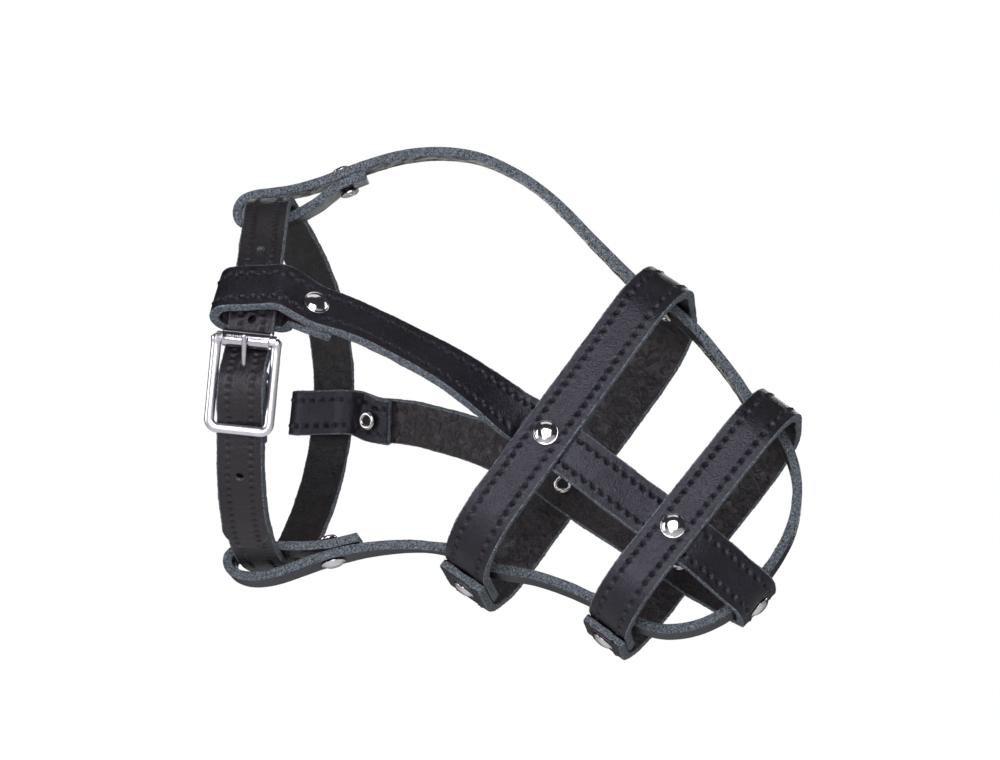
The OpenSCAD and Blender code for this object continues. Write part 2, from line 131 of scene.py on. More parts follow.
def smooth(values, per=24):
    """Smooth curve through the values, with this many steps from each to the next."""
    p = np.asarray(values, float)
    last = len(p) - 1
    at = np.linspace(0, last, last * per + 1)
    i = np.minimum(at.astype(int), last - 1)
    t = (at - i)[:, None]
    a, b, c, d = p[np.maximum(i - 1, 0)], p[i], p[i + 1], p[np.minimum(i + 2, last)]
    square = (2 * a - 5 * b + 4 * c - d) * t ** 2
    cube = (3 * b - a - 3 * c + d) * t ** 3
    return 0.5 * (2 * b + (c - a) * t + square + cube)


def arc(centre, r, start, end, step=5.0):
    """Points of a round stretch in a plane."""
    n = math.ceil(abs(end - start) / step)
    return [(centre[0] + r * cosd(a), centre[1] + r * sind(a)) for a in np.linspace(start, end, n + 1)]


def ripples(s, u, size, seed, waves=20):
    """A smooth random height about 0, with bumps of about this size in millimetres."""
    rng = np.random.default_rng(seed)
    total = np.zeros(np.broadcast(s, u).shape)
    for _ in range(waves):
        way, phase = rng.uniform(0, 2 * math.pi, 2)
        k = 2 * math.pi / (size * rng.uniform(0.7, 1.8))
        total += np.sin(k * (s * math.cos(way) + u * math.sin(way)) + phase)
    return total / math.sqrt(waves / 2)


class Route:
    """The middle of a strap: its points, width direction and face direction by length."""

    def __init__(self, points, across, width, thickness):
        p = np.asarray(points, float)
        step = np.linalg.norm(np.diff(p, axis=0), axis=1)
        self.s = np.concatenate([[0], np.cumsum(step)])
        self.length = self.s[-1]
        way = unit(np.gradient(p, self.s, axis=0))
        across = np.broadcast_to(across, p.shape)
        w = unit(across - np.sum(across * way, axis=1, keepdims=True) * way)
        self.p, self.way, self.w, self.n = p, way, w, unit(np.cross(way, w))
        self.width = np.broadcast_to(width, len(p))
        self.thickness = np.broadcast_to(thickness, len(p))

    def at(self, s, values):
        if values.ndim == 1:
            return np.interp(s, self.s, values)
        return np.stack([np.interp(s, self.s, values[:, k]) for k in range(3)], axis=-1)

    def place(self, s, u, h):
        """Where the point at length s, u across and h out of the middle is."""
        w, n = unit(self.at(s, self.w)), unit(self.at(s, self.n))
        return self.at(s, self.p) + u[..., None] * w + h[..., None] * n

    def nearest(self, point, start=0.0, end=None):
        """The length at which the middle comes nearest to the point."""
        end = self.length if end is None else end
        d = np.linalg.norm(self.p - point, axis=1)
        d[(self.s < start) | (self.s > end)] = np.inf
        return self.s[np.argmin(d)]


# ---- Frames of the snout and the neck -------------------------------------

def snout(along, y, up):
    return turn_y((along, y, up), snout_pitch)


def in_rear(v):
    return turn_y(v, snout_pitch + rear_turn)


def in_front(v):
    return turn_y((ring_gap, 0, 0), snout_pitch) + turn_y(v, snout_pitch + front_turn)


def outward(a):
    return vec(-cosd(a), -sind(a))


def downward(a):
    return vec(sind(a), -cosd(a))


def on_ring(a, off):
    return (neck_r + off - neck_sag * max(0, -sind(a)) ** 4) * outward(a)


def in_plane(up, out):
    """A point of the neck ring's plane, from the buckle's middle: up the strap and out."""
    return (neck_r + out) * outward(buckle_a) - up * downward(buckle_a)


def ring_x(a):
    return (neck_x + neck_forward + neck_saddle / 2 * cosd(2 * a) - neck_yaw * cosd(a)
            - neck_tilt * sind(a) - neck_twist * sind(3 * a))


def lift(p):
    return vec(ring_x(math.degrees(math.atan2(-p[1], -p[0]))), p[0], neck_z + p[1])


buckle_lean = math.degrees(math.atan2(ring_x(buckle_a - 1) - ring_x(buckle_a + 1), neck_r * sind(2)))
buckle_mid = lift(on_ring(buckle_a, 0))
turn_buckle = np.array(
    Matrix.Rotation(math.radians(buckle_a), 3, "X") @ Matrix.Rotation(math.radians(buckle_lean), 3, "Y"))


def in_buckle(p):
    """Points of the buckle's own frame: X across it, -Y out of the ring and Z up the strap."""
    return buckle_mid + np.asarray(p, float) @ turn_buckle.T


# ---- Mesh making ----------------------------------------------------------

def make(name, verts, faces, materials, slots=None):
    """A smooth-shaded object from vertices in millimetres."""
    mesh = bpy.data.meshes.new(name)
    mesh.from_pydata((np.asarray(verts) * MM).tolist(), [], [list(map(int, f)) for f in faces])
    for m in materials:
        mesh.materials.append(m)
    mesh.polygons.foreach_set("use_smooth", [True] * len(mesh.polygons))
    if slots is not None:
        mesh.polygons.foreach_set("material_index", np.asarray(slots, np.int32))
    mesh.update()
    obj = bpy.data.objects.new(name, mesh)
    bpy.context.scene.collection.objects.link(obj)
    return obj


def grid_faces(rows, columns):
    """Quads of a grid of rows times columns, with the columns joined into a ring."""
    i, k = np.meshgrid(np.arange(rows - 1), np.arange(columns), indexing="ij")
    nxt = (k + 1) % columns
    return np.stack([i * columns + k, i * columns + nxt, (i + 1) * columns + nxt, (i + 1) * columns + k], -1)


corner_turns = np.radians([22, 45, 68])
wall_levels = (0.55, 0.2, -0.2, -0.55)


def side_insets(width, stitch_row):
    """Distances from the edge of the columns on half a face, close together at the stitches."""
    near_row = (-1.5, -1.05, -0.7, -0.35, 0, 0.35, 0.7, 1.05, 1.5)
    fine = [stitch_row + d for d in near_row] if stitch_row else []
    first = [edge_round, 1.0, 1.6]
    inner = list(np.arange(2.2, width / 2 - 0.3, 0.62))
    keep = [d for d in first + inner if all(abs(d - f) > 0.3 for f in fine) and d < width / 2]
    return sorted(keep + [f for f in fine if f > 0.8]) + [width / 2]


def section_columns(face_u, half):
    """The columns round a strap's section: place across, level, drop at the corner, kind.

    The level goes from 1 on the grain face to -1 on the flesh face. The columns go
    round by the grain face (kind 0), -w wall (1), flesh face (2) and +w wall (1).
    """
    columns = [(u, 1.0, 0.0, 0) for u in face_u]
    for side in (-1, 1):
        corner = [
            (side * (half - edge_round + edge_round * math.sin(c)), edge_round * (1 - math.cos(c)))
            for c in corner_turns]
        columns += [(u, -side, drop, 1) for u, drop in corner]
        columns += [(side * half, -side * level, 0.0, 1) for level in wall_levels]
        columns += [(u, side, drop, 1) for u, drop in corner[::-1]]
        if side < 0:
            columns += [(u, -1.0, 0.0, 2) for u in face_u[::-1]]
    return [np.array(values) for values in zip(*columns)]


def punch(hole, s, u, mid_s, mid_u, sides):
    """Marks the quads inside a hole, and draws the corners on its rim onto its outline.

    s and u are changed in place, on both faces of the strap.
    """
    hs, hu, rs, ru = hole
    gone = np.hypot((mid_s[:, None] - hs) / rs, (mid_u[None, :] - hu) / ru) < 1.0
    count = sum(np.pad(gone, ((a, 1 - a), (b, 1 - b))).astype(int) for a in (0, 1) for b in (0, 1))
    i, k = np.nonzero((count > 0) & (count < 4))
    for side in sides:
        ds, du = s[i, side[k]] - hs, u[i, side[k]] - hu
        q = np.hypot(ds / rs, du / ru)
        s[i, side[k]] = hs + ds / q
        u[i, side[k]] = hu + du / q
    return gone


def hole_walls(gone, columns, grain, flesh):
    """Quads that line a punched hole, from the grain face to the flesh face."""
    walls = []
    for i, c in zip(*np.nonzero(gone)):
        borders = (
            ((i, c - 1), (i + 1, c), (i, c)),
            ((i, c + 1), (i, c + 1), (i + 1, c + 1)),
            ((i - 1, c), (i, c), (i, c + 1)),
            ((i + 1, c), (i + 1, c + 1), (i + 1, c)))
        for beyond, (row_a, col_a), (row_b, col_b) in borders:
            if not gone[beyond]:
                a, b = row_a * columns, row_b * columns
                walls.append((a + grain[col_a], b + grain[col_b], b + flesh[col_b], a + flesh[col_a]))
    return walls


def strap_ends(rows, columns, n_face, flesh):
    """Faces that close both ends: quads from grain to flesh, and the two rounded edges."""
    ends = []
    for base, back in ((0, True), ((rows - 1) * columns, False)):
        rings = [
            [base + k, base + k + 1, base + flesh[k + 1], base + flesh[k]] for k in range(n_face - 1)]
        rings.append([base + c for c in range(n_face - 1, flesh[-1] + 1)])
        rings.append([base + c for c in range(flesh[0], columns)] + [base])
        ends += [tuple(ring[::-1] if back else ring) for ring in rings]
    return ends


def strap(name, route, outer_relief, inner_relief, materials, stitch_row=None, holes=()):
    """A closed leather strap along the route, with punched holes right through it.

    The reliefs give heights from length and distance across. A hole is given by its
    length, place across, and half sizes along and across.
    """
    end_rows = np.array([0.0, 0.06, 0.2, 0.5])
    even_rows = np.arange(1.0, route.length - 0.9, row_step)
    s_rows = np.concatenate([end_rows, even_rows, route.length - end_rows[::-1]])
    half = np.max(route.width) / 2
    insets = np.array(side_insets(2 * half, stitch_row))
    face_u = np.concatenate([half - insets, (insets - half)[-2::-1]])      # from +w to -w
    n_face = len(face_u)
    u, level, drop, kind = section_columns(face_u, half)
    rows, columns = len(s_rows), len(u)
    grain = np.arange(n_face)
    flesh = n_face + 2 * len(corner_turns) + len(wall_levels) + np.arange(n_face)[::-1]

    s = np.repeat(s_rows[:, None], columns, axis=1)
    uu = np.repeat(u[None, :], rows, axis=0) * (route.at(s_rows, route.width) / (2 * half))[:, None]
    mid_s = (s_rows[1:] + s_rows[:-1]) / 2
    mid_u = (face_u[1:] + face_u[:-1]) / 2
    cuts = [punch(hole, s, uu, mid_s, mid_u, (grain, flesh)) for hole in holes]

    # Height out of the middle, less at the rounded corners and ends, plus the reliefs.
    t = route.at(s, route.thickness) / 2
    from_end = np.minimum(s, route.length - s)
    into_round = np.clip(edge_round - from_end, 0, None)
    round_end = edge_round - np.sqrt(np.maximum(edge_round ** 2 - into_round ** 2, 0))
    height = level * (t - np.where(np.abs(level) == 1, drop + round_end, 0))
    height = np.where((kind == 1)[None, :] & (np.abs(level) < 1), level * (t - round_end), height)
    pressed = np.where((kind == 0)[None, :], outer_relief(s, uu), 0)
    height = height + pressed
    height = height - np.where((kind == 2)[None, :], inner_relief(s, uu), 0)
    # The cut walls are a little uneven.
    fuzz = 0.06 * ripples(s, height * 3, 2.2, 5) + 0.05 * ripples(s, height * 2, 9, 6)
    uu = uu + np.where((kind == 1)[None, :], np.sign(uu) * fuzz, 0)
    verts = route.place(s, uu, height).reshape(-1, 3)

    # Faces, without the quads inside the holes, and then without the corners nobody uses.
    face_kind = np.where(kind == np.roll(kind, -1), kind, 1)
    slots = np.repeat(face_kind[None, :], rows - 1, axis=0)
    keep = np.ones(slots.shape, bool)
    extra = []
    for gone in cuts:
        i, c = np.nonzero(gone)
        keep[i, c] = False
        keep[i, flesh[c + 1]] = False
        extra += hole_walls(gone, columns, grain, flesh)
    extra += strap_ends(rows, columns, n_face, flesh)
    faces = [tuple(q) for q in grid_faces(rows, columns)[keep]] + extra
    kinds = np.concatenate([slots[keep], np.full(len(extra), 1)])
    used = np.unique(np.concatenate([np.ravel(f) for f in faces]))
    fresh = np.full(len(verts), -1)
    fresh[used] = np.arange(len(used))
    faces = [tuple(fresh[list(f)]) for f in faces]
    made = make(name, verts[used], faces, materials, kinds)
    # How deep each point is pressed in, kept for the painted shade in the stitch pits and rivet dents.
    shade = made.data.attributes.new("pressed", "FLOAT", "POINT")
    shade.data.foreach_set("value", np.clip(-pressed.ravel()[used] / pit_shade_depth, 0, 1).astype(np.float32))
    return made


def lathe(name, profile, base, out, material, sides=56, ripple=None):
    """A turned piece: the profile's (radius, height) points round the direction out, from base.

    ripple gives a change of the radius from the angle and the radius.
    """
    r, z = np.array(profile, float).T
    out = unit(np.asarray(out, float))
    side = unit(np.cross(out, vec(0, 0, 1) if abs(out[2]) < 0.9 else vec(1, 0, 0)))
    other = np.cross(out, side)
    a = np.linspace(0, 2 * math.pi, sides, endpoint=False)
    rr = np.repeat(r[:, None], sides, axis=1)
    if ripple:
        rr = rr + ripple(a[None, :], rr)
    verts = (np.asarray(base, float) + rr[..., None] * (
        np.cos(a)[:, None] * side + np.sin(a)[:, None] * other) + z[:, None, None] * out)
    faces = grid_faces(len(r), sides).reshape(-1, 4)
    return make(name, verts.reshape(-1, 3), faces, [material])


def closed_profile(profile):
    """The profile with its first point again at the end."""
    return list(profile) + [profile[0]]


def tube(points, radii, sides=28, flat=None):
    """Vertices and faces of a rod along the points, closed with round ends by its radii.

    flat gives, at each point, how much narrower the rod is in its second direction.
    """
    p = np.asarray(points, float)
    way = unit(np.gradient(p, axis=0))
    side = np.cross(way[0], vec(0, 1, 0) if abs(way[0][1]) < 0.8 else vec(1, 0, 0))
    a = np.linspace(0, 2 * math.pi, sides, endpoint=False)
    flat = np.ones(len(p)) if flat is None else flat
    verts = []
    for q, d, r, f in zip(p, way, radii, flat):
        side = unit(side - np.dot(side, d) * d)
        other = np.cross(d, side)
        verts += [q + r * (math.cos(b) * side + f * math.sin(b) * other) for b in a]
    faces = [tuple(f) for f in grid_faces(len(p), sides).reshape(-1, 4)]
    faces.append(tuple(range(sides))[::-1])
    faces.append(tuple((len(p) - 1) * sides + k for k in range(sides)))
    return np.array(verts), faces


def rod(start, end, r, bevel=0.35, along=10):
    """A straight rod with rounded ends."""
    start, end = vec(*start), vec(*end)
    length = np.linalg.norm(end - start)
    turn = np.radians([0, 30, 60, 90])
    end_inset = bevel * (1 - np.cos(turn))
    end_r = r - bevel + bevel * np.sin(turn)
    between = np.linspace(bevel, length - bevel, along)[1:-1]
    inset = np.concatenate([end_inset, between, length - end_inset[::-1]])
    radii = np.concatenate([end_r, np.full(along - 2, r), end_r[::-1]])
    return tube(start + inset[:, None] / length * (end - start), radii)


def join_shells(shells):
    """One list of vertices and faces out of several closed shells."""
    verts, faces, base = [], [], 0
    for v, f in shells:
        verts.append(v)
        faces += [tuple(base + k for k in face) for face in f]
        base += len(v)
    return np.concatenate(verts), faces


# ---- Materials ------------------------------------------------------------

class Shader:
    """A material's node tree, written as nested calls."""

    def __init__(self, name):
        self.mat = bpy.data.materials.new(name)
        self.mat.use_nodes = True
        self.tree = self.mat.node_tree
        self.tree.nodes.clear()
        self.out = self.node("ShaderNodeOutputMaterial")
        self.bsdf = self.node("ShaderNodeBsdfPrincipled")
        self.link(self.bsdf.outputs[0], self.out.inputs[0])
        self.place = self.node("ShaderNodeTexCoord").outputs["Object"]

    def node(self, kind, **settings):
        made = self.tree.nodes.new(kind)
        for key, value in settings.items():
            setattr(made, key, value)
        return made

    def link(self, a, b):
        self.tree.links.new(a, b)

    def noise(self, size, detail=3.0, rough=0.55, warp=0.0):
        """Noise whose bumps are about this many millimetres."""
        n = self.node("ShaderNodeTexNoise")
        self.link(self.place, n.inputs["Vector"])
        n.inputs["Scale"].default_value = 1 / (size * MM)
        n.inputs["Detail"].default_value = detail
        n.inputs["Roughness"].default_value = rough
        n.inputs["Distortion"].default_value = warp
        return n.outputs["Fac"]

    def ramp(self, value, stops):
        """Colours or greys by value: stops of (position, colour or grey)."""
        r = self.node("ShaderNodeValToRGB")
        self.link(value, r.inputs["Fac"])
        ends = r.color_ramp.elements
        while len(ends) < len(stops):
            ends.new(0.5)
        for end, (at, c) in zip(ends, stops):
            end.position = at
            end.color = (c, c, c, 1) if isinstance(c, (int, float)) else (*c, 1)
        return r.outputs["Color"]

    def maths(self, operation, a, b):
        m = self.node("ShaderNodeMath", operation=operation)
        for socket, value in zip(m.inputs, (a, b)):
            if isinstance(value, (int, float)):
                socket.default_value = value
            else:
                self.link(value, socket)
        return m.outputs[0]

    def spread(self, value, low, high):
        """value from 0..1 spread over low..high."""
        return self.maths("ADD", self.maths("MULTIPLY", value, high - low), low)

    def shade(self, colour, value):
        """The colour times a grey value."""
        mix = self.node("ShaderNodeMix", data_type="RGBA", blend_type="MULTIPLY")
        mix.inputs["Factor"].default_value = 1.0
        self.link(colour, mix.inputs["A"])
        self.link(value, mix.inputs["B"])
        return mix.outputs["Result"]

    def bump(self, height, depth, strength=1.0, after=None):
        """A bump this many millimetres deep, on top of another one."""
        b = self.node("ShaderNodeBump")
        b.inputs["Strength"].default_value = strength
        b.inputs["Distance"].default_value = depth * MM
        self.link(height, b.inputs["Height"])
        if after is not None:
            self.link(after, b.inputs["Normal"])
        return b.outputs[0]

    def done(self, colour, roughness, normal=None, **fixed):
        """The finished material. fixed holds other values, named as their sockets."""
        for socket, value in (("Base Color", colour), ("Roughness", roughness), ("Normal", normal)):
            if value is not None:
                self.link(value, self.bsdf.inputs[socket])
        for socket, value in fixed.items():
            self.bsdf.inputs[socket.replace("_", " ")].default_value = value
        return self.mat


def grain_leather(name, dark, light, low, high, sheen):
    """The dyed, pebbled outer face of the leather, with painted shade in its pressed marks."""
    m = Shader(name)
    patches = m.noise(14, 4, 0.6)
    pebbles = m.noise(1.0, 3, 0.7, 0.3)
    pores = m.noise(0.5, 2, 0.7)
    colour = m.ramp(m.maths("ADD", m.maths("MULTIPLY", patches, 0.7), m.maths("MULTIPLY", pores, 0.3)),
                    [(0.32, dark), (0.68, light)])
    pressed = m.node("ShaderNodeAttribute", attribute_name="pressed").outputs["Fac"]
    # Painted shade: the colour is darkened where the face is pressed in, at stitch pits and rivet dents.
    colour = m.shade(colour, m.spread(pressed, 1.0, 0.3))
    uneven = m.maths("ADD", m.maths("MULTIPLY", m.noise(5, 3, 0.6), 0.6), m.maths("MULTIPLY", pebbles, 0.4))
    roughness = m.maths("ADD", m.spread(uneven, low, high), m.maths("MULTIPLY", pressed, 0.3))
    normal = m.bump(m.noise(4.5, 3, 0.55), 0.06, 0.6)
    normal = m.bump(pebbles, 0.2, 1.0, normal)
    normal = m.bump(pores, 0.16, 1.0, normal)
    return m.done(colour, roughness, normal, Specular_IOR_Level=0.5, Specular_Tint=(*sheen, 1.0))


def cut_edge(name, dark, light):
    """The cut side of the leather: fibres, speckled grey where the dye is thin."""
    m = Shader(name)
    fibres = m.noise(0.75, 4, 0.75, 0.8)
    specks = m.noise(0.4, 2, 0.7)
    tone = m.maths("ADD", m.maths("MULTIPLY", fibres, 0.6), m.maths("MULTIPLY", specks, 0.4))
    middle = tuple((a + b) / 2.6 for a, b in zip(dark, light))
    colour = m.ramp(tone, [(0.40, dark), (0.50, middle), (0.60, light)])
    normal = m.bump(fibres, 0.5, 0.9)
    normal = m.bump(specks, 0.25, 0.9, normal)
    return m.done(colour, m.spread(specks, 0.8, 1.0), normal, Specular_IOR_Level=0.25)


def flesh_leather(name, dark, light, low, high):
    """The inner face: black, creased and unevenly shiny."""
    m = Shader(name)
    creases = m.noise(3.2, 5, 0.6, 1.4)
    nap = m.noise(0.6, 4, 0.7)
    colour = m.ramp(m.maths("ADD", m.maths("MULTIPLY", creases, 0.5), m.maths("MULTIPLY", nap, 0.5)),
                    [(0.40, dark), (0.62, light)])
    normal = m.bump(m.ramp(creases, [(0.35, 0.0), (0.5, 1.0), (0.62, 0.55)]), 0.3, 0.8)
    normal = m.bump(nap, 0.12, 0.9, normal)
    return m.done(colour, m.spread(m.noise(1.6, 3, 0.6), low, high), normal, Specular_IOR_Level=0.5)


def polished(name, tint, low, high, wear=0.03):
    """Plated metal with fine scratches and slightly uneven polish."""
    m = Shader(name)
    cloud = m.noise(2.5, 4, 0.6)
    scratch = m.noise(0.22, 3, 0.7, 2.0)
    colour = m.ramp(cloud, [(0.3, tuple(c * 0.86 for c in tint)), (0.7, tint)])
    normal = m.bump(m.noise(3.5, 2, 0.5), wear, 0.5)
    normal = m.bump(scratch, 0.012, 0.5, normal)
    return m.done(colour, m.spread(scratch, low, high), normal, Metallic=1.0)


harness_leather = [
    grain_leather(
        "grain_leather", (0.002, 0.002, 0.003), (0.011, 0.010, 0.015), 0.22, 0.42, (0.87, 0.86, 1.0)),
    cut_edge("cut_edge", (0.014, 0.017, 0.023), (0.30, 0.34, 0.38)),
    flesh_leather("flesh_side", (0.003, 0.002, 0.003), (0.046, 0.034, 0.038), 0.25, 0.42),
]
band_leather = [
    grain_leather(
        "band_grain", (0.005, 0.004, 0.005), (0.015, 0.0125, 0.015), 0.25, 0.42, (0.98, 0.93, 1.0)),
    cut_edge("band_edge", (0.014, 0.017, 0.022), (0.26, 0.29, 0.33)),
    flesh_leather("band_flesh", (0.004, 0.003, 0.0035), (0.020, 0.015, 0.017), 0.42, 0.66),
]
nickel = polished("nickel", (0.80, 0.76, 0.78), 0.07, 0.17)
eyelet_metal = polished("eyelet_metal", (0.66, 0.62, 0.60), 0.14, 0.28)
buckle_metal = polished("buckle_metal", (0.86, 0.82, 0.90), 0.20, 0.38, 0.05)
roller_metal = polished("roller_metal", (0.74, 0.70, 0.75), 0.08, 0.18)
prong_metal = polished("prong_metal", (0.70, 0.67, 0.72), 0.12, 0.24)


# ---- Reliefs of the leather faces -----------------------------------------

def stitch_line(row, pitch=3.9, pit=(0.7, 0.64), depth=0.8, bead=0.62):
    """Pressed stitch marks along two rows: pits with raised beads between them."""
    def relief(s, u):
        number = s / pitch + np.where(u > 0, 0.3, 0)
        which = np.floor(number)
        uneven = np.sin(12.9898 * which + 4.1 * np.sign(u))
        off = np.abs(u) - row - 0.1 * uneven
        phase = number - which
        from_pit = (phase - 0.5 - 0.04 * uneven) * pitch
        from_bead = np.minimum(phase, 1 - phase) * pitch
        pits = np.exp(-np.abs(from_pit / pit[0]) ** 3 - np.abs(off / pit[1]) ** 3)
        beads = np.exp(-(from_bead / (0.24 * pitch)) ** 2 - (off / (pit[1] + 0.1)) ** 2)
        return bead * beads - depth * (1 + 0.2 * uneven) * pits - 0.1 * np.exp(-(off / 0.9) ** 4)
    return relief


def grain_relief(seed, stitches=None, rivets=()):
    """Outer face: soft unevenness, the stitches, and a dent under each rivet's cap."""
    def relief(s, u):
        height = 0.03 * ripples(s, u, 11, seed) + 0.012 * ripples(s, u, 2.6, seed + 1)
        if stitches:
            height = height + stitches(s, u)
        for mark in rivets:
            q = np.hypot(s - mark, u) / dent_r
            height = height * (1 - np.exp(-q ** 6)) - dent_d * np.exp(-q ** 4)
        return height
    return relief


def flesh_relief(seed, depth=0.16):
    """Inner face: creases that follow the bends, and a soft unevenness."""
    def relief(s, u):
        fold = np.abs(ripples(s * 1.7, u * 0.7, 6, seed))
        return 0.09 * ripples(s, u, 8, seed + 1) - depth * np.exp(-(fold / 0.22) ** 2)
    return relief


# ---- Centre strap ---------------------------------------------------------

# The middle of the centre strap as (x, z), from the crown loop over the forehead and
# round the nose to the throat loop.
crown_loop = [
    (-77.5, 106.2), (-86.6, 102.6), (-91.5, 99), (-96.5, 95.2), (-104.5, 90.9), (-112, 88.6),
    (-119, 87.6), (-123.6, 89.6), (-124.9, 93.9), (-123, 98), (-118.5, 100), (-112, 100.7),
    (-104, 101.6), (-95.5, 103.7)]
forehead = [
    (-86.3, 106.9), (-76.5, 110.3), (-65.3, 113.2), (-53.9, 114.3), (-42.5, 113.4), (-32.9, 110.9),
    (-24, 106.6), (-14.5, 100.4), (-4.2, 91.1), (10.4, 74.4), (24.9, 58.3)]
bridge = [(35.8, 49.2), (45.3, 39.9), (53, 30), (59.6, 20.4), (65.5, 11)]
nose_curve = [
    (72.3, 3.7), (77.2, -5.3), (79.9, -14), (80.4, -22.7), (79, -31.8), (75.5, -40.8),
    (69.8, -49.8), (61.9, -59.2), (54, -65.4), (46, -69.4), (38, -71.2), (30, -71), (21.8, -68)]
chin = [
    (14, -63.9), (6.7, -59.3), (-3.5, -54.4), (-13, -51), (-21, -49.2), (-28.5, -47.6),
    (-35.5, -44.6), (-42.9, -40.3), (-52, -38.4), (-62, -37.9), (-73.5, -38.7)]
throat_loop = [
    (-83, -40.4), (-91, -42.4), (-98.5, -44.9), (-105.5, -47.2), (-112.5, -48.6), (-118.8, -48.2),
    (-123.4, -45.6), (-124.2, -41.2), (-120.5, -38.2), (-113, -37.8), (-104, -37.8), (-95, -38),
    (-86, -37.2), (-76.8, -35.2)]


def rivet(name):
    """A rivet's outer end, its way out and the foot of its post, from the CAD nodes."""
    cap = np.array([v.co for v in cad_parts["cap_" + name].data.vertices]) / MM
    post = np.array([v.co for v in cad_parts["post_" + name].data.vertices]) / MM
    cap = np.unique(cap.round(4), axis=0)
    away = cap - cap.mean(axis=0)
    out = np.linalg.eigh(away.T @ away)[1][:, 0]
    if np.dot(out, cap.mean(axis=0) - post.mean(axis=0)) < 0:
        out = -out
    base = cap.mean(axis=0) + out * (away @ out).min()
    foot = ((post - base) @ out).min()
    return base, out, foot


rivet_names = sorted(n.removeprefix("cap_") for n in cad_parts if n.startswith("cap_"))
rivets = {name: rivet(name) for name in rivet_names}

crown_shift = vec(3.2, -15, -6.1)        # the crown loop is pulled over to the near side
crown_roll = 13
shift_from, shift_to = len(crown_loop), len(crown_loop) + 10
centre_roll = [                          # station, and roll of the strap there in degrees
    (0, crown_roll), (shift_from + 7, crown_roll), (shift_to, 3), (shift_to + 1, 0), (49, 0), (51, 8),
    (53, 3), (54, 0), (67, 0)]
centre_stations, centre_across = [], []
for i, (x, z) in enumerate(crown_loop + forehead + bridge + nose_curve + chin + throat_loop):
    along = min(max((i - shift_from) / (shift_to - shift_from), 0), 1)
    centre_stations.append(vec(x, 0, z) + crown_shift * (1 + cosd(180 * along)) / 2)
    roll = np.interp(i, *np.transpose(centre_roll))
    centre_across.append(vec(0, cosd(roll), sind(roll)))
centre_route = Route(smooth(centre_stations), smooth(centre_across), centre_w, leather_t)
centre_marks = [centre_route.nearest(rivets[n][0]) for n in ("crown_loop", "throat_loop")]
centre_strap = strap(
    "leather_centre_strap", centre_route, grain_relief(11, rivets=centre_marks), flesh_relief(12),
    harness_leather)
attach(centre_strap, "harness")
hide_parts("centre_strap")


# ---- Ring bands -----------------------------------------------------------

def ring_outline(w, h, corner, lap):
    """The band bent round until its ends lap at the bottom, in the plane (y, up)."""
    side, top = (w - leather_t) / 2 - corner, (h - leather_t) / 2
    inner = -top + leather_t + gap
    bottom = [(y, inner) for y in np.linspace(lap, -side, 8)[:-1]]
    near = [(-side - corner, z) for z in np.linspace(inner + corner, top - corner, 16)[1:-1]]
    over = [(y, top) for y in np.linspace(-side, side, 8)[1:-1]]
    far = [(side + corner, z) for z in np.linspace(top - corner, -top + corner, 16)[1:-1]]
    last = [(y, -top) for y in np.linspace(side, -lap, 8)[1:]]
    return (bottom + arc((-side, inner + corner), corner, 270, 180) + near
            + arc((-side, top - corner), corner, 180, 90) + over
            + arc((side, top - corner), corner, 90, 0) + far
            + arc((side, -top + corner), corner, 0, -90) + last)


def ring_band(name, outline, place, turned, band, marks, seed):
    """One stitched ring band, with its place function and its turn about Y."""
    points = smooth([place(vec(0, y, up)) for y, up in outline], 6)
    route = Route(points, -turn_y((1, 0, 0), turned), band, leather_t)
    dents = [route.nearest(rivets[m][0]) for m in marks]
    outer = grain_relief(seed, stitch_line(band / 2 - stitch_inset), dents)
    made = strap(
        "leather_" + name, route, outer, flesh_relief(seed + 1), harness_leather,
        stitch_row=stitch_inset)
    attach(made, "harness")
    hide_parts(name)


ring_band("rear_ring", ring_outline(rear_w, rear_h, rear_corner, rear_lap), in_rear,
          snout_pitch + rear_turn, rear_band, ("rear_near", "rear_far", "rear_top"), 21)
ring_band("front_ring", ring_outline(front_w, front_h, front_corner, front_lap), in_front,
          snout_pitch + front_turn, front_band, ("front_near", "front_far", "front_top"), 31)


# ---- Side strap -----------------------------------------------------------

rear_y = rear_w / 2 - 1.5 * leather_t - gap
front_y = front_w / 2 - 1.5 * leather_t - gap
loop_mark = vec(-82.5, -68.4, 31)
nose_out = vec(cosd(nose_lean), 0, -sind(nose_lean))
nose_mid = vec(61.9, 0, -59.2) + nose_out * (leather_t + gap)
loop_turn = 5.8
loop_x = -110
loop_out_way = vec(0, -cosd(loop_tilt), sind(loop_tilt))
loop_mid = vec(loop_x, 0, neck_z) + vec(0, -cosd(loop_a), sind(loop_a)) * (neck_r - 0.25)


def behind_nose(back, y):
    return nose_mid - back * nose_out + vec(0, y, 0)


def leg(side, x):
    return vec(x, loop_mid[1], loop_mid[2]) + side * loop_turn * loop_out_way


def width_way(lean, tilt):
    return vec(sind(lean), sind(tilt), cosd(lean) * cosd(tilt))


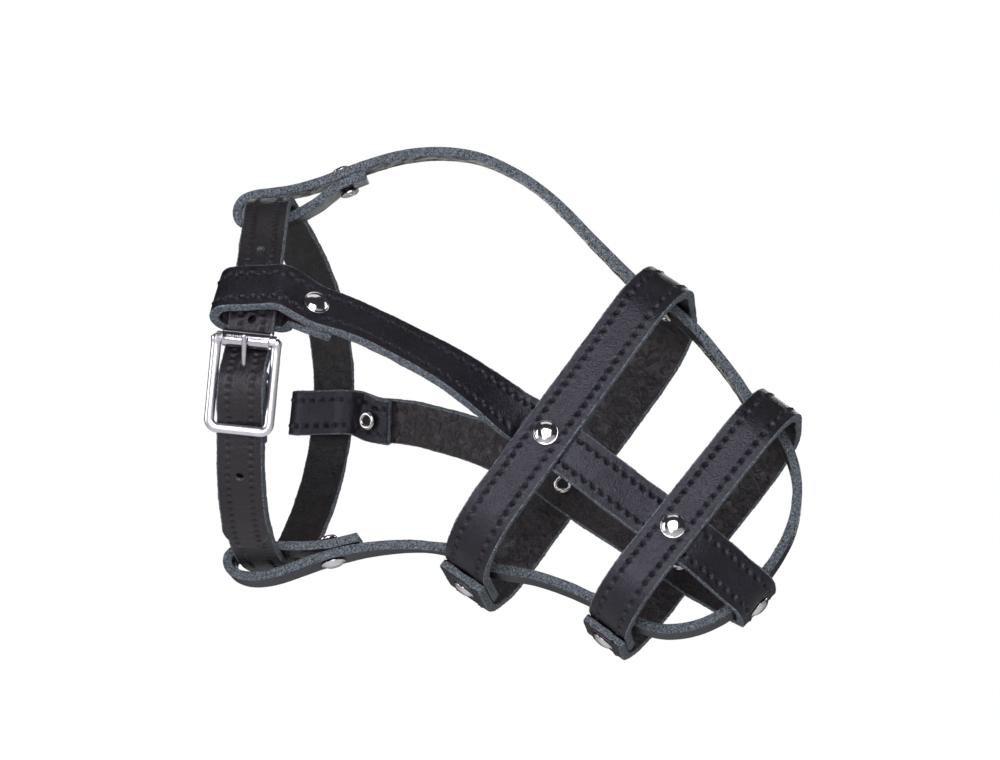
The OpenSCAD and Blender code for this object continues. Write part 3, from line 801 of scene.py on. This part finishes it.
# The near half, front to back: the middle of the leather, how far its width
# leans forward and how far its upper edge leans inward, in degrees.
side_run = [
    (nose_mid, nose_lean, 0),
    (behind_nose(0, -4.4), nose_lean, 0),
    (behind_nose(0.5, -7.6), nose_lean, 0),
    (behind_nose(2.8, -10.6), 43, 0),
    (snout(80, -14.2, -10.2), 40, 0),
    (snout(71, -19.6, -10), snout_pitch, 0),
    (snout(63, -front_y + 0.8, cross_d), snout_pitch, 0),
    (snout(ring_gap, -front_y, cross_d), snout_pitch, 0),
    (snout(45, -front_y - 0.1, cross_d), snout_pitch, 0),
    (snout(35, -front_y - 2.2, cross_d), snout_pitch, 0),
    (snout(20, -rear_y + 1.8, cross_d), snout_pitch, 0),
    (snout(10, -rear_y, cross_d), snout_pitch, 0),
    (snout(0, -rear_y, cross_d), snout_pitch, 0),
    (snout(-9, -rear_y + 0.1, cross_d + 0.4), snout_pitch, 0),
    (vec(-17.5, -34.8, 0.2), 32, 8),
    (vec(-27, -39.9, 6.8), 26, 20),
    (vec(-41, -47.6, 15.2), 20, 31),
    (vec(-62, -58, 24.6), 12, 33),
    (vec(-72.5, -63.5, 28.3), 10, 30),
    (loop_mark, 8, mark_tilt),
    (leg(1, -92.5) - vec(0, 0, 0.5), 8, loop_tilt),
    (leg(1, -99), loop_lean, loop_tilt),
    (leg(1, loop_x + 4.5), loop_lean, loop_tilt),
]
loop_stations = [
    (loop_mid + loop_out_way * loop_turn * cosd(a) - vec(loop_turn * sind(a), 0, 0), loop_lean, loop_tilt)
    for a in range(0, 181, 30)
]
loop_way = unit(vec(19.3, 8.7, -6))
mark_width = width_way(8, mark_tilt)
loop_normal = unit(np.cross(loop_way, unit(mark_width - np.dot(mark_width, loop_way) * loop_way)))
tail_mark = loop_mark - loop_normal * (leather_t + gap)
tail_stations = [
    (leg(-1, loop_x + 4.5), loop_lean, loop_tilt),
    (leg(-1, -99), loop_lean, loop_tilt),
    (leg(-1, -93.4) + vec(0, 1.4, -0.6), 8, loop_tilt),
    (vec(-88.8, -64.7, 32.2), 8, 20),
    (tail_mark, 8, mark_tilt),
    (tail_mark + loop_way * 4.2, 8, mark_tilt + 1),
    (tail_mark + loop_way * 8.5, 9, mark_tilt + 4),
]
near_half = side_run + loop_stations + tail_stations
side_stations = (
    [(p * vec(1, -1, 1), width_way(a, b) * vec(1, -1, 1)) for p, a, b in near_half[:0:-1]]
    + [(p, width_way(a, b)) for p, a, b in near_half])
side_route = Route(
    smooth([p for p, w in side_stations]), -smooth([w for p, w in side_stations]), side_w, leather_t)
middle = side_route.length / 2
side_marks = [
    side_route.nearest(rivets["near_loop"][0], middle), side_route.nearest(rivets["far_loop"][0], 0, middle),
    middle]
side_outer = grain_relief(41, stitch_line(side_w / 2 - stitch_inset), side_marks)
side_strap = strap(
    "leather_side_strap", side_route, side_outer, flesh_relief(42), harness_leather,
    stitch_row=stitch_inset)
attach(side_strap, "harness")
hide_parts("side_strap")


# ---- Neck strap -----------------------------------------------------------

keeper_a = buckle_a + 13
joined_a = 70
tail_in = 1.8


def fixed_off(a):
    return -tail_in * (joined_a - a) / (joined_a - keeper_a) if a < joined_a else 0


tip_stations = [
    (on_ring(a, fixed_off(a) + neck_t + gap), neck_t, neck_w * tip_share if a == tip_a else neck_w)
    for a in np.arange(tip_a, keeper_a + 4.9, -5.5)
]
hump_stations = [
    (in_plane(up, out), neck_t, neck_w) for up, out in (
        (-15.5, -0.2), (-11.6, 1.8), (-7.4, 4.2), (-2.8, 5.7), (1.5, 5.9), (5.3, 4.3), (9.5, 0.9),
        (12.8, -1.2), (16, -2.3))
]
round_stations = [(on_ring(a, fixed_off(a + 360)), neck_t, neck_w) for a in range(0, -325, -6)]
fixed_stations = [
    (in_plane(up, out), t, neck_w) for up, out, t in (
        (-15.5, -3.5, neck_t), (-11.5, -2.2, neck_t), (-7.5, -0.5, neck_t), (-3.2, 1.7, 2.2))
]
fold_r = bar_r + 0.15 + fold_t / 2
fold_stations = [
    (in_plane(centre_bar_u + fold_r * sind(a), centre_bar_v + fold_r * cosd(a)), fold_t, neck_w)
    for a in range(0, 181, 30)
]
neck_tail_stations = [
    (in_plane(up, out), t, neck_w) for up, out, t in (
        (-3.2, -2.7, 2.2), (-7.5, -4.3, neck_t), (-11.5, -5.7, neck_t), (-15.5, -7, neck_t),
        (-19.5, -8, neck_t))
]
level_stations = tip_stations + hump_stations + round_stations + fixed_stations
leaning_stations = fold_stations + neck_tail_stations
neck_stations = level_stations + leaning_stations
bar_way = vec(
    cosd(buckle_lean), sind(buckle_lean) * sind(buckle_a), -sind(buckle_lean) * cosd(buckle_a))
neck_route = Route(
    smooth([lift(q) for q, t, w in neck_stations]),
    -smooth([vec(1, 0, 0)] * len(level_stations) + [bar_way] * len(leaning_stations)),
    smooth([[w] for q, t, w in neck_stations])[:, 0],
    smooth([[t] for q, t, w in neck_stations])[:, 0])

hump_end = neck_route.nearest(lift(hump_stations[-1][0]))
neck_holes = []
for i in (-4, 0, 1, 2):
    a = math.degrees(-i * hole_pitch / neck_r)
    at = neck_route.nearest(lift(on_ring(a, neck_t if i < 0 else 0)))
    neck_holes.append((at, 0, hole_d / 2, hole_d / 2))
prong_points = in_buckle(np.linspace(prong_from, prong_to, 200))
gaps = np.linalg.norm(neck_route.p[:, None] - prong_points[None], axis=2).min(axis=1)
gaps[neck_route.s > hump_end] = np.inf
prong_at = neck_route.s[np.argmin(gaps)]
neck_holes.append((prong_at, 0, *prong_hole))
fold_from = neck_route.nearest(lift(in_plane(-2.2, 2.1)), neck_route.length / 2)
fold_to = neck_route.nearest(lift(in_plane(-2.2, -2.4)), neck_route.length / 2)
neck_holes.append(((fold_from + fold_to) / 2, 0, (fold_to - fold_from) / 2, prong_slot / 2))

ticks = stitch_line(neck_w / 2 - tick_inset, pitch=2.7, pit=(0.5, 0.85), depth=0.5, bead=0.16)
neck_strap = strap(
    "leather_neck_strap", neck_route, grain_relief(51, ticks), flesh_relief(52, 0.12), band_leather,
    stitch_row=tick_inset, holes=neck_holes)
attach(neck_strap, "neck_band")
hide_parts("neck_strap")


# ---- Rivets ---------------------------------------------------------------

def cap_profile(d, h):
    """A domed cap whose rim is rolled under."""
    r = d / 2
    dome = [(x, h * (1 - (x / r) ** 3)) for x in np.linspace(axis_r, r - 0.55, 18)]
    rim_z = dome[-1][1]
    rim = [
        (r - cap_rim_r + cap_rim_r * cosd(a), rim_z - cap_rim_h + cap_rim_h * sind(a))
        for a in range(78, -91, -14)]
    return dome + rim + [(r - 0.8, -0.25), (axis_r, -0.25)]


def post_profile(foot):
    """A tube from under the cap to its foot, where it is rolled open over the leather."""
    middle_r, low = bore_r + roll_r, foot + roll_r
    roll = [(middle_r + roll_r * cosd(a), low + roll_r * sind(a)) for a in range(180, 421, 12)]
    inside = [(bore_r - 0.12, low + 1.0), (bore_r - 0.16, -0.6)]
    outside = [(post_r, low + 1.4), (post_r, -0.3)]
    return [(axis_r, -0.6)] + inside[::-1] + roll + outside + [(axis_r, -0.3)]


for name in rivet_names:
    base, out, foot = rivets[name]
    low = name == "buckle"               # the one under the strap's free end
    body = "neck_band" if low else "harness"
    profile = cap_profile(low_cap_d, low_cap_h) if low else cap_profile(cap_d, cap_h)
    cap = lathe("rivet_cap_" + name, profile, base, out, nickel)
    post = lathe("rivet_post_" + name, post_profile(foot), base, out, eyelet_metal)
    for piece, node in ((cap, "cap_" + name), (post, "post_" + name)):
        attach(piece, body)
        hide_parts(node)


# ---- Buckle ---------------------------------------------------------------

def bent_frame():
    """The bent wire with its keeper bar, the two ears, the roller bar and the centre bar."""
    side_x, top = buckle_w / 2 + wire_a, buckle_l / 2
    wire_end = top + 1.2
    left = [(-side_x, z) for z in np.linspace(wire_end, -top + bend_r, 26)]
    corner = [(-side_x + bend_r + x, -top + bend_r + z) for x, z in arc((0, 0), bend_r, 180, 270, 9)]
    bottom = [(x, -top) for x in np.linspace(-side_x + bend_r, 0, 8)]
    half = left + corner[1:] + bottom[1:]
    path = half + [(-x, z) for x, z in half[-2::-1]]
    points = [vec(x, -frame_v, z) for x, z in path]
    height = np.array([z for x, z in path])
    ear = np.exp(-((height - top) / 1.5) ** 2)
    radii = wire_a + (ear_r + 0.1 - wire_a) * ear
    close = np.clip((wire_end - height) / 0.9, 0, 1)
    radii = radii * np.sqrt(1 - (1 - close) ** 2 * 0.92)
    shells = [
        tube(points, radii, flat=wire_b / wire_a + (1 - wire_b / wire_a) * ear),
        rod((-side_x, -frame_v, top), (side_x, -frame_v, top), roller_bar_r),
        rod((-side_x, -centre_bar_v, centre_bar_u), (side_x, -centre_bar_v, centre_bar_u), bar_r),
    ]
    return join_shells(shells)


def place_piece(name, verts, faces, material, body, node):
    """One piece of the buckle, from vertices in the buckle's own frame."""
    piece = make(name, in_buckle(verts), faces, [material])
    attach(piece, body)
    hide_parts(node)


verts, faces = bent_frame()
place_piece("buckle_frame_metal", verts, faces, buckle_metal, "neck_band", "buckle_frame")

# The roller is a strip bent round, so a fine seam runs along it.
half_l, r_out, r_in = (buckle_w - 0.9) / 2, roller_d / 2, roller_bar_r + fit
roll_profile = [
    (r_in + 0.05, -half_l + 0.1), (r_in + 0.3, -half_l),
    (r_out - 0.25, -half_l), (r_out - 0.05, -half_l + 0.2)]
roll_profile += [(r_out, z) for z in np.linspace(-half_l + 0.45, half_l - 0.45, 12)]
roll_profile += [(r, -z) for r, z in roll_profile[3::-1]]
roll_profile += [(r_in, z) for z in np.linspace(half_l - 0.3, -half_l + 0.3, 6)]


def seam(a, r):
    """The seam where the roller's strip meets, on its outer face only."""
    return np.where(r > r_in + 0.4, -0.22 * np.exp(-((a - 2.2) / 0.045) ** 2), 0)


roller = lathe(
    "buckle_roller_metal", closed_profile(roll_profile),
    in_buckle((0, -frame_v, buckle_l / 2)), turn_buckle @ vec(1, 0, 0), roller_metal, 140, seam)
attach(roller, "roller")
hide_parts("buckle_roller")


def prong_shells():
    """The prong's eye round the centre bar, and its tapered pin that ends on the roller."""
    eye_r, eye_w, eye_t = bar_r + fit + 0.5, 2.6, 0.94
    turn = np.radians(np.arange(0, 361, 10))
    section = [(eye_t / 2 * cosd(a), eye_w / 2 * sind(a)) for a in range(0, 360, 30)]
    eye = []
    for a in turn[:-1]:
        for dr, dx in section:
            r = eye_r + dr
            eye.append(vec(dx, -centre_bar_v + r * math.sin(a), centre_bar_u + r * math.cos(a)))
    n, k = len(turn) - 1, len(section)
    faces = [
        (i * k + j, i * k + (j + 1) % k, ((i + 1) % n) * k + (j + 1) % k, ((i + 1) % n) * k + j)
        for i in range(n) for j in range(k)]
    start, end = vec(*prong_from), vec(*prong_to)
    tip_t = 1.03               # the rounded tip ends a little past the pin's end point
    t = np.concatenate([np.linspace(0, 0.96, 24), [0.975, 0.99, 1.0, 1.012, 1.022, tip_t]])
    points = start + t[:, None] * (end - start)
    taper = prong_r * (1 - 0.16 * np.clip(t, 0, 1))
    close = np.clip((tip_t - t) / 0.055, 0, 1)
    radii = np.maximum(taper * np.sqrt(1 - (1 - close) ** 2), 0.03)
    return join_shells([(np.array(eye), faces), tube(points, radii)])


verts, faces = prong_shells()
place_piece("buckle_prong_metal", verts, faces, prong_metal, "prong", "buckle_prong")


# ---- Camera, light and floor ----------------------------------------------

view_azimuth, view_elevation = 6.4, -17.6       # the side that the camera looks from, in degrees
camera_at = Vector((0.07064, -0.86290, -0.25159))
back = Vector((
    sind(view_azimuth) * cosd(view_elevation), -cosd(view_azimuth) * cosd(view_elevation),
    sind(view_elevation)))
camera = bpy.data.objects.new("camera", bpy.data.cameras.new("camera"))
camera.data.lens = 89.5
camera.data.sensor_width = 36
camera.location = camera_at
camera.rotation_mode = "QUATERNION"
camera.rotation_quaternion = (-back).to_track_quat("-Z", "Y")
bpy.context.scene.collection.objects.link(camera)
bpy.context.scene.camera = camera


def softbox(name, azimuth, elevation, distance, size, power, tint=(1, 1, 1)):
    """A soft rectangular light that looks at the muzzle's middle.

    Angles are in degrees, distance and size in metres and power in watts.
    """
    middle = (cad_box[0] + cad_box[1]) / 2
    a, e = math.radians(azimuth), math.radians(elevation)
    way = Vector((math.sin(a) * math.cos(e), -math.cos(a) * math.cos(e), math.sin(e)))
    light = bpy.data.lights.new(name, "AREA")
    light.shape = "RECTANGLE"
    light.size, light.size_y = size
    light.energy = power
    light.color = tint
    obj = bpy.data.objects.new(name, light)
    obj.location = middle + way * distance
    obj.rotation_mode = "QUATERNION"
    obj.rotation_quaternion = (-way).to_track_quat("-Z", "Y")
    bpy.context.scene.collection.objects.link(obj)


softbox("key_light", 3, 3, 0.5, (0.30, 0.30), 1.8, (0.93, 0.93, 1.0))
softbox("left_light", -64, 5, 1.2, (0.45, 0.9), 4.5, (0.96, 0.97, 1.0))
softbox("low_light", -11, -22, 1.15, (0.34, 0.30), 1.7, (1.0, 0.96, 1.0))
softbox("top_light", 0, 84, 1.4, (1.2, 0.7), 2.6)
softbox("right_light", 105, 20, 1.3, (0.4, 0.9), 4)
softbox("back_light", 180, 25, 1.4, (1.0, 0.8), 7)

world = bpy.data.worlds.new("white_room")
world.use_nodes = True
nodes, links = world.node_tree.nodes, world.node_tree.links
shown = nodes["Background"]
shown.inputs["Color"].default_value = (1, 1, 1, 1)
shown.inputs["Strength"].default_value = 1.0
dim = nodes.new("ShaderNodeBackground")
dim.inputs["Color"].default_value = (0.72, 0.74, 0.80, 1)
dim.inputs["Strength"].default_value = 0.05
mix = nodes.new("ShaderNodeMixShader")
links.new(nodes.new("ShaderNodeLightPath").outputs["Is Camera Ray"], mix.inputs[0])
links.new(dim.outputs[0], mix.inputs[1])
links.new(shown.outputs[0], mix.inputs[2])
links.new(mix.outputs[0], nodes["World Output"].inputs[0])
bpy.context.scene.world = world
bpy.context.scene.view_settings.view_transform = "Standard"

floor_z, floor_side = -760.0, 12000.0
pale = Shader("pale_floor")
pale_mat = pale.done(
    pale.ramp(pale.noise(60, 3), [(0.3, (0.80, 0.80, 0.81)), (0.7, (0.84, 0.84, 0.85))]),
    pale.spread(pale.noise(20, 3), 0.55, 0.7), Emission_Color=(1, 1, 1, 1), Emission_Strength=0.3)
corners = [(x * floor_side / 2, y * floor_side / 2, floor_z) for x, y in ((-1, -1), (1, -1), (1, 1), (-1, 1))]
make("pale_floor", corners, [(0, 1, 2, 3)], [pale_mat])
